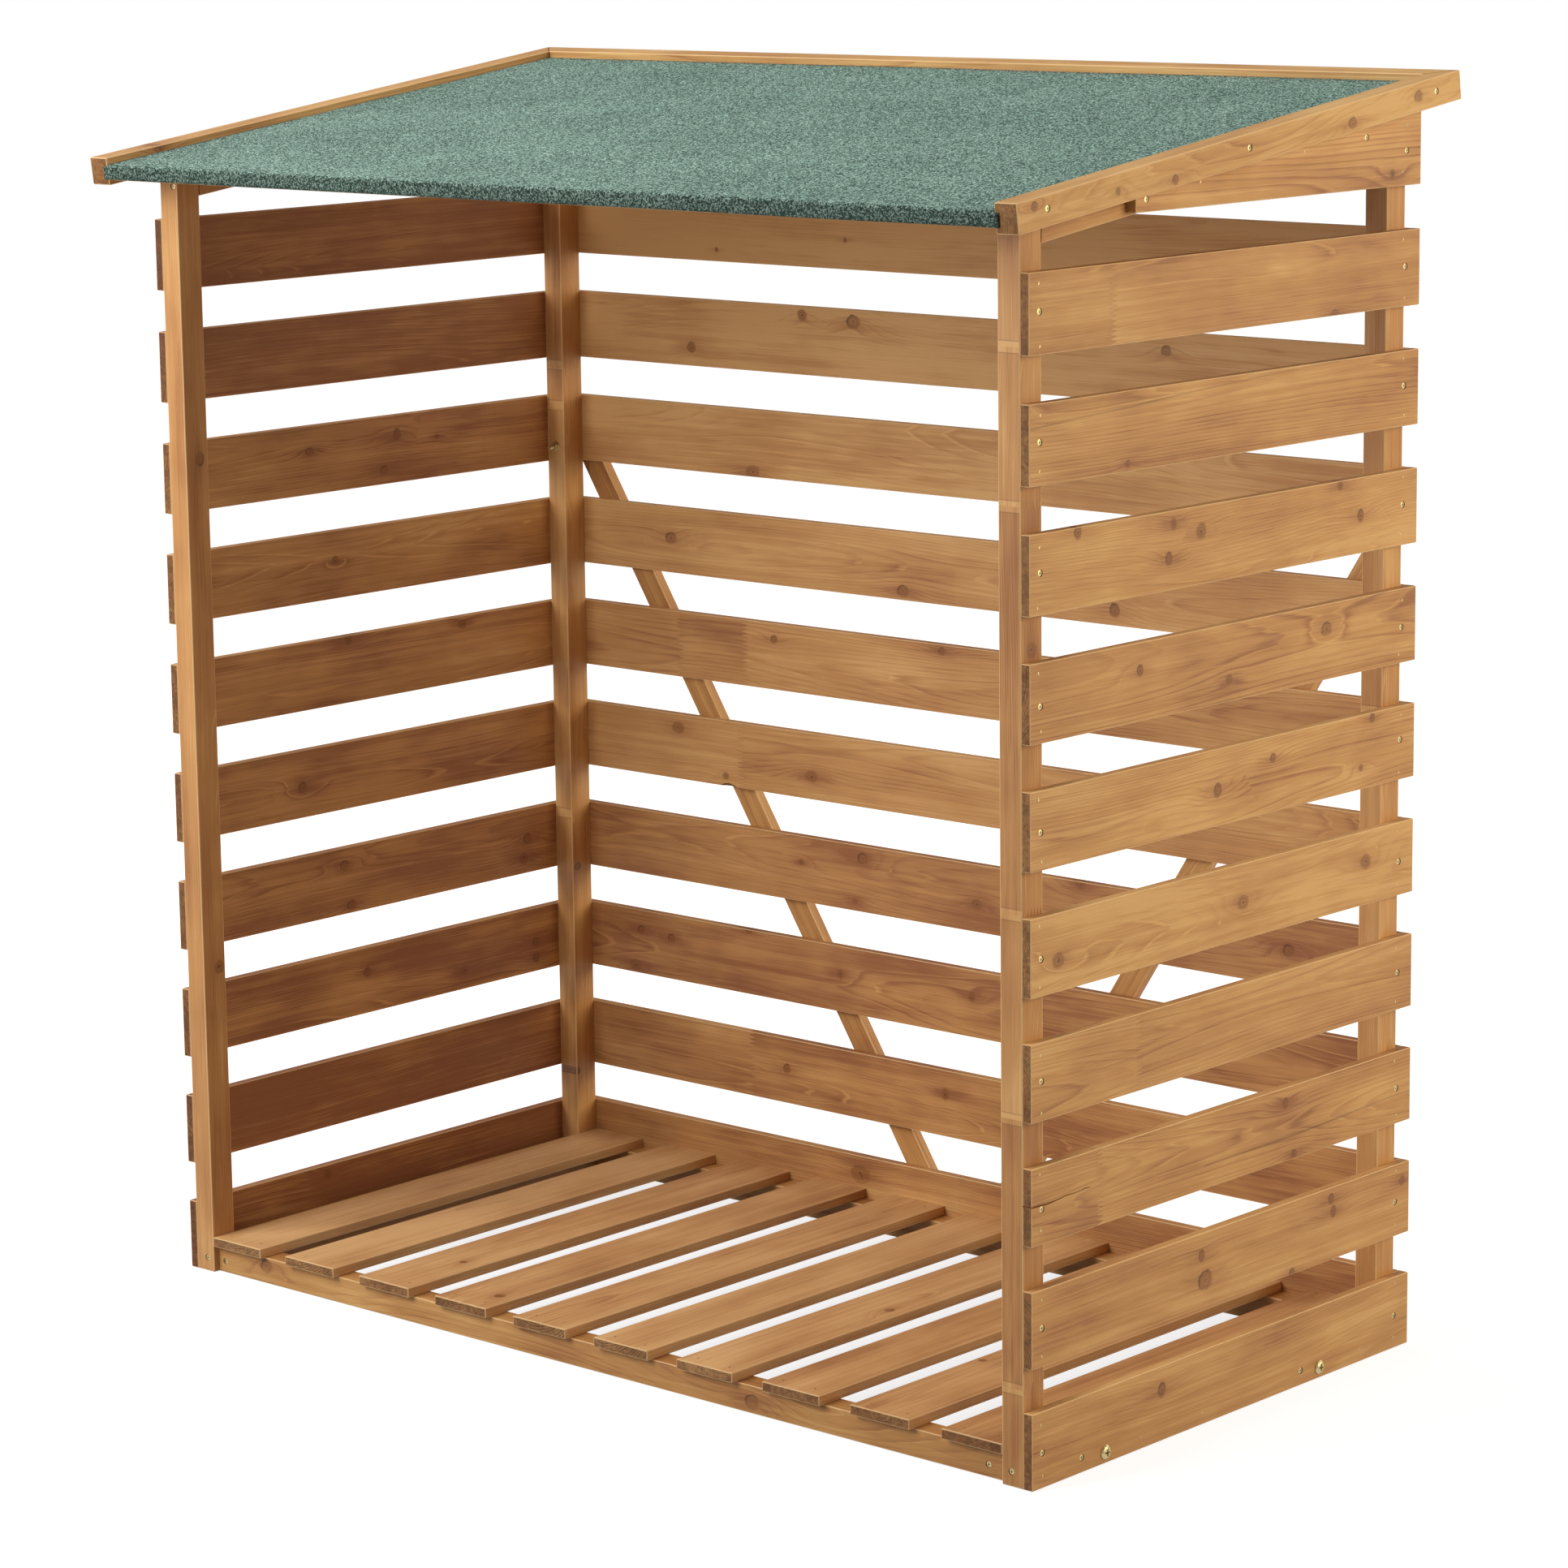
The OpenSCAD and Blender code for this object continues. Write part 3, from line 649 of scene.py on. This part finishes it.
# A resin vein crosses two slats of the right wall: height above the middle, lean, and start along the slat.
right_veins = {2: (-0.0162, 0.018, -0.045), 8: (0.0324, 0.0442, -0.4)}
for node, along, tones, marks, joints, veins in (
        ("left_wall_slats", (0, 1, 0),
         # Tones from low to high: dark all over, most at the foot and the top, as painted shade.
         (1.40, 1.42, 1.28, 1.10, 1.00, 0.88, 0.72, 0.98, 1.42, 1.38),
         [(-side_x, y, z, r) for y, z, r in left_knots], [], None),
        ("right_wall_slats", (0, 1, 0),
         (0.58, 0.55, 0.67, 0.65, 0.30, 0.36, 0.64, 0.36, 0.74, 0.70),
         [(side_x, y, z, r) for y, z, r in right_knots],
         [(side_x, -0.139, 0.43), (side_x, -0.207, 0.30), (side_x, -0.184, 1.24)], right_veins),
        ("back_wall_slats", (1, 0, 0),
         # Tones, low to high: darker low down as painted shade, paler on top as painted light under the roof.
         (0.96, 0.92, 1.12, 1.06, 0.44, 0.62, 0.40, 0.22, 0.00, -0.10, -0.15),
         [(x, back_y, z, r) for x, z, r in back_knots],
         [(-0.455, back_y, 0.70), (-0.344, back_y, 0.70), (-0.353, back_y, 0.57), (-0.340, back_y, 0.17)], None)):
    wall = grained(drilled(eased(node, 0.0009), screws.get(node), chips.get(node)), node + "_timber", "slat_wood",
                   along, (0, 0, 1), marks, joints, figure=(0.2, 0.6), tone=tones, knots=(0, 0), veins=veins)
    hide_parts(node)
for node in ("left_top_slat", "right_top_slat"):
    slat = grained(drilled(eased(node, 0.0009), screws.get(node)), node + "_timber", "slat_wood", (0, 1, 0), (0, 0, 1),
                   saw=0.2)
    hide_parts(node)

# ---- Floor boards ----
# Ten planed boards of 84 by 12 mm, laid front to back with gaps between them and nailed to the floor frame.
for number, tone in enumerate((0.33, 0.17, 0.57, 0.63, 0.41, 0.33, 0.33, 0.77, 0.60, 1.00), 1):
    node = f"floor_board_{number}"
    plank = grained(eased(node, 0.0012), node + "_timber", "floor_wood", (0, 1, 0), (1, 0, 0), figure=(0.2, 0.6),
                    tone=(tone, tone), knots=(0, 1))
    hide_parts(node)

# ---- Back braces ----
# Two softwood laths that make a V outside the back wall. Each is bolted through the back post at its upper end
# and screwed to the slats at its foot and halfway.
lean_x, lean_z = 0.5402, 0.8415
for hand, node in ((-1, "left_back_brace"), (1, "right_back_brace")):
    brace = grained(drilled(eased(node, 0.001), screws[node]), node + "_timber", "frame_wood",
                    (hand * lean_x, 0, lean_z), (-hand * lean_z, 0, lean_x))
    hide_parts(node)

# ---- Roof edge boards ----
# Softwood boards on three sides of the roof, mitred at the back corners. They stand above the felt and are
# screwed to the deck from outside.
for node, along, across, marks in (
        ("left_roof_edge", slope, square_up, []),
        ("right_roof_edge", slope, square_up,
         [(0.69, 0.182, 1.401, 5.7), (0.69, -0.128, 1.359, 4.8), (0.69, -0.223, 1.353, 3.8),
          (0.69, -0.357, 1.346, 4.8), (0.69, 0.304, 1.424, 5.7)]),
        ("back_roof_edge", (1, 0, 0), square_up, [])):
    edge = grained(drilled(eased(node, 0.001), screws.get(node)), node + "_timber", "edge_wood", along, across, marks,
                   figure=(0.3, 0.6), tone=(0.3, 0.5))
    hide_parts(node)

# ---- Roof deck ----
# Softwood boards across the roof, side by side; their eased arrises make a small V at each joint below.
overhang, edge_height = 0.064, 0.032
eaves = Vector((0, front_y - overhang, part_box("right_roof_edge")[0].z + edge_height * slope.y))
upstand, felt_thick = 0.008, 0.002
deck_width, deck_length, deck_thick, deck_board = 1.336, 0.74427, 0.016, 0.092
hair = 0.0002
turn = Matrix.Rotation(pitch, 4, "X")
bm = bmesh.new()
start = 0.0
while start < deck_length - 0.01:
    stop = min(start + deck_board, deck_length)
    centre = eaves + slope * (start + stop) / 2 - square_up * (upstand + felt_thick + deck_thick / 2)
    size = Matrix.Diagonal((deck_width, stop - start - hair, deck_thick, 1))
    bmesh.ops.create_cube(bm, size=1.0, matrix=Matrix.Translation(centre) @ turn @ size)
    start = stop
bmesh.ops.bevel(bm, geom=bm.edges[:], offset=0.0012, offset_type="OFFSET", segments=2, profile=0.5, affect="EDGES",
                material=-1)
deck = grained(bm, "roof_deck_boards", "deck_wood", (1, 0, 0), slope, figure=(0.3, 0.7))
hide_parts("roof_deck")

# ---- Roofing felt ----
# One sheet of bitumen felt with green mineral granules, laid over the deck and folded down over its front
# edge. It sags and waves a little along the fold, and the folded strip down its front is painted darker, as shade.
felt = bpy.data.materials.new("mineral_felt")
felt.use_nodes = True
t = felt.node_tree
surface = t.nodes["Principled BSDF"]
where = add(t, "TexCoord", out=3)
speck = t.nodes.new("ShaderNodeTexVoronoi")
speck.inputs["Scale"].default_value = 720.0
t.links.new(where, speck.inputs["Vector"])
grit = t.nodes.new("ShaderNodeSeparateColor")
t.links.new(speck.outputs["Color"], grit.inputs[0])
clump = add(t, "TexNoise", where, None, 380.0, 1.0, 0.5)
patch = add(t, "TexNoise", where, None, 7.0, 2.0, 0.5)
value = calc(t, "MULTIPLY_ADD", grit.outputs[0], 0.85, calc(t, "MULTIPLY_ADD", clump, 0.8, -0.2))
value = calc(t, "MULTIPLY_ADD", calc(t, "SUBTRACT", patch, 0.5), 0.2, value)
colour = blend(t, ease(t, value, 0.22, 0.7), (0.004, 0.022, 0.014, 1), (0.062, 0.140, 0.106, 1))
colour = blend(t, ease(t, value, 0.58, 1.0), colour, (0.42, 0.60, 0.51, 1))
# Painted shade: the folded strip down the front is darkened to 0.42 of its colour.
drop_shade = add(t, "Attribute", attribute_name="drop_shade", out=2)
colour = blend(t, drop_shade, colour, blend(t, 1.0, colour, (0.42, 0.42, 0.42, 1), "MULTIPLY"))
t.links.new(colour, surface.inputs["Base Color"])
surface.inputs["Roughness"].default_value = 0.8
surface.inputs["Specular IOR Level"].default_value = 0.3
bump = t.nodes.new("ShaderNodeBump")
bump.inputs["Strength"].default_value = 0.9
bump.inputs["Distance"].default_value = 0.0009
t.links.new(calc(t, "MULTIPLY_ADD", clump, 0.6, calc(t, "MULTIPLY", grit.outputs[0], 0.6)), bump.inputs["Height"])
t.links.new(bump.outputs["Normal"], surface.inputs["Normal"])

# The profile runs up the folded strip, round the fold and back over the deck. The columns run across the roof;
# only the folded strip reaches past the deck, over the ends of the edge boards.
fold, run, half_width, lap_width = 0.004, 0.7412, 0.6675, 0.673
fold_foot = -upstand - fold
profile = [(-felt_thick, z) for z in (-0.025, -0.0205, -0.0162, fold_foot)]
profile += [(fold - felt_thick - fold * math.cos(math.radians(a)), fold_foot + fold * math.sin(math.radians(a)))
            for a in (18, 36, 54, 72, 90)]
profile += [(fold - felt_thick + run * (i / 60) ** 1.25, -upstand) for i in range(1, 61)]
columns = [-lap_width, -0.6685, -half_width]
columns += [-half_width + 2 * half_width * i / 220 for i in range(1, 220)] + [half_width, 0.6685, lap_width]
bm = bmesh.new()
bmesh.ops.create_grid(bm, x_segments=len(columns) - 1, y_segments=len(profile) - 1, size=0.5)
bm.verts.ensure_lookup_table()
drop_shade_layer = bm.verts.layers.float.new("drop_shade")
wave = random.Random(5)
swell = [(wave.uniform(3, 16), wave.uniform(0, 6.3), wave.uniform(0.2, 0.5)) for _ in range(7)]
spare = []
for vert in bm.verts:
    column = round((vert.co.x + 0.5) * (len(columns) - 1))
    row = round((vert.co.y + 0.5) * (len(profile) - 1))
    x, (y, z) = columns[column], profile[row]
    ripple = sum(size * math.sin(rate * x + phase) for rate, phase, size in swell) / 7
    if row < 8:
        z += 0.0016 * ripple * (1 - row / 8)
        y += 0.0004 * abs(ripple)
    elif row > 8:
        z += 0.0005 * sum(size * math.sin(rate * (x + 2 * y) + phase) for rate, phase, size in swell) / 3
        z = min(z, -0.0074)
    vert.co = eaves + Vector((x, 0, 0)) + slope * y + square_up * z
    # Weight of the painted shade: full on the folded strip, fading round the fold.
    vert[drop_shade_layer] = min(max((9 - row) / 5, 0.0), 1.0)
    if abs(x) > 0.668 and row > 5:
        spare.append(vert)
bmesh.ops.delete(bm, geom=spare, context="VERTS")
bmesh.ops.recalc_face_normals(bm, faces=bm.faces)
mesh = bpy.data.meshes.new("roof_felt_sheet")
bm.to_mesh(mesh)
bm.free()
mesh.materials.append(felt)
mesh.polygons.foreach_set("use_smooth", [True] * len(mesh.polygons))
sheet = bpy.data.objects.new("roof_felt_sheet", mesh)
scene.collection.objects.link(sheet)
thick = sheet.modifiers.new("thickness", "SOLIDIFY")
thick.thickness, thick.offset = 0.0018, -1
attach(sheet, "root")
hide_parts("roof_felt")

# ---- Fixings as pieces ----
# Countersunk cross-head screws sit just under the face, and nail heads flush with it. Pan head bolts stand on it.
# All are zinc-plated steel with a yellow tint.
zinc = bpy.data.materials.new("zinc_fixings")
zinc.use_nodes = True
t = zinc.node_tree
surface = t.nodes["Principled BSDF"]
stain = add(t, "TexNoise", add(t, "TexCoord", out=3), None, 700.0, 1.0, 0.6)
t.links.new(blend(t, stain, (0.38, 0.29, 0.13, 1), (0.72, 0.60, 0.33, 1)), surface.inputs["Base Color"])
t.links.new(ease(t, stain, 0.2, 0.8, 0.28, 0.5), surface.inputs["Roughness"])
surface.inputs["Metallic"].default_value = 1.0


def cross_head(bm, where, normal, radius, wall, dome):
    """A round screw head with a cross recess. Its rim stands above the place by the wall, or under it."""
    known = set(bm.verts)
    bmesh.ops.create_circle(bm, cap_ends=True, segments=12, radius=radius,
                            matrix=Matrix.Translation((0, 0, min(wall, 0))))
    face = next(f for f in bm.faces if not known & set(f.verts))
    if face.normal.z < 0:
        bmesh.ops.reverse_faces(bm, faces=[face])
    if wall > 0:
        face = bmesh.ops.extrude_discrete_faces(bm, faces=[face])["faces"][0]
        bmesh.ops.translate(bm, verts=face.verts, vec=(0, 0, wall))
    for thickness, depth in ((0.18, 0.55), (0.2, 0.35), (0.1, 0.1)):
        bmesh.ops.inset_individual(bm, faces=[face], thickness=radius * thickness, depth=dome * depth)
    arm, reach = radius * 0.13, radius * 0.52
    shape = [(reach, -arm), (reach, arm), (arm, arm), (arm, reach), (-arm, reach), (-arm, arm), (-reach, arm),
             (-reach, -arm), (-arm, -arm), (-arm, -reach), (arm, -reach), (arm, -arm)]
    bearing = lambda x, y: math.atan2(y, x) % (2 * math.pi)
    for vert, (x, y) in zip(sorted(face.verts, key=lambda p: bearing(p.co.x, p.co.y)),
                            sorted(shape, key=lambda p: bearing(*p))):
        vert.co.x, vert.co.y = x, y
    pit = bmesh.ops.extrude_discrete_faces(bm, faces=[face])["faces"][0]
    for vert in pit.verts:
        vert.co = Vector((vert.co.x * 0.6, vert.co.y * 0.6, vert.co.z - radius * 0.4))
    new = [vert for vert in bm.verts if vert not in known]
    bmesh.ops.transform(bm, matrix=Matrix.Translation(where) @ upright(normal), verts=new)


def fixing(bm, name):
    """Makes a zinc-plated piece."""
    mesh = bpy.data.meshes.new(name)
    bm.to_mesh(mesh)
    bm.free()
    mesh.materials.append(zinc)
    piece = bpy.data.objects.new(name, mesh)
    scene.collection.objects.link(piece)
    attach(piece, "root")


bm = bmesh.new()
for node, places in screws.items():
    for where, normal in places:
        cross_head(bm, where, normal, radius=0.0035, wall=-0.0007, dome=0.0003)
fixing(bm, "wall_screws")

bm = bmesh.new()
for where, normal in nails:
    turned = upright(normal) @ Matrix.Rotation(wander_of.uniform(-0.5, 0.5), 4, "Z")
    bmesh.ops.create_cube(bm, size=1.0, matrix=Matrix.Translation(where) @ turned
                          @ Matrix.Diagonal((0.0016, 0.0030, 0.0004, 1)))
fixing(bm, "nail_heads")

bolt_z = 0.947
pan = {"radius": 0.0080, "wall": 0.0009, "dome": 0.0026}
bm = bmesh.new()
for hand in (-1, 1):
    for y in (-0.198, 0.190):
        cross_head(bm, Vector((hand * out_x, y, 0.0125)), Vector((hand, 0, 0)), **pan)
    cross_head(bm, Vector((hand * post_x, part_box("left_back_brace")[1].y, bolt_z)), Vector((0, 1, 0)), **pan)
fixing(bm, "pan_head_bolts")

# The bolts of the braces come through the back posts, each with a washer and a nut on its thread.
bm = bmesh.new()
post_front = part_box("back_left_post")[0].y
turned = Matrix.Rotation(math.radians(90), 4, "X")
for hand in (-1, 1):
    for radius, start, depth, segments in ((0.0070, 0.0, 0.0012, 24), (0.0056, 0.0012, 0.0044, 6)):
        place = Matrix.Translation((hand * post_x, post_front - start - depth / 2, bolt_z)) @ turned
        made = bmesh.ops.create_cone(bm, cap_ends=True, segments=segments, radius1=radius, radius2=radius, depth=depth,
                                     matrix=place)
        edges = list({edge for vert in made["verts"] for edge in vert.link_edges})
        bmesh.ops.bevel(bm, geom=edges, offset=0.0003, offset_type="OFFSET", segments=1, profile=0.5, affect="EDGES",
                        material=-1)
    for thread in range(9):
        place = Matrix.Translation((hand * post_x, post_front - 0.0058 - thread * 0.0008, bolt_z)) @ turned
        bmesh.ops.create_cone(bm, cap_ends=True, segments=12, radius1=0.0029, radius2=0.0024, depth=0.0008,
                              matrix=place)
fixing(bm, "brace_nuts")
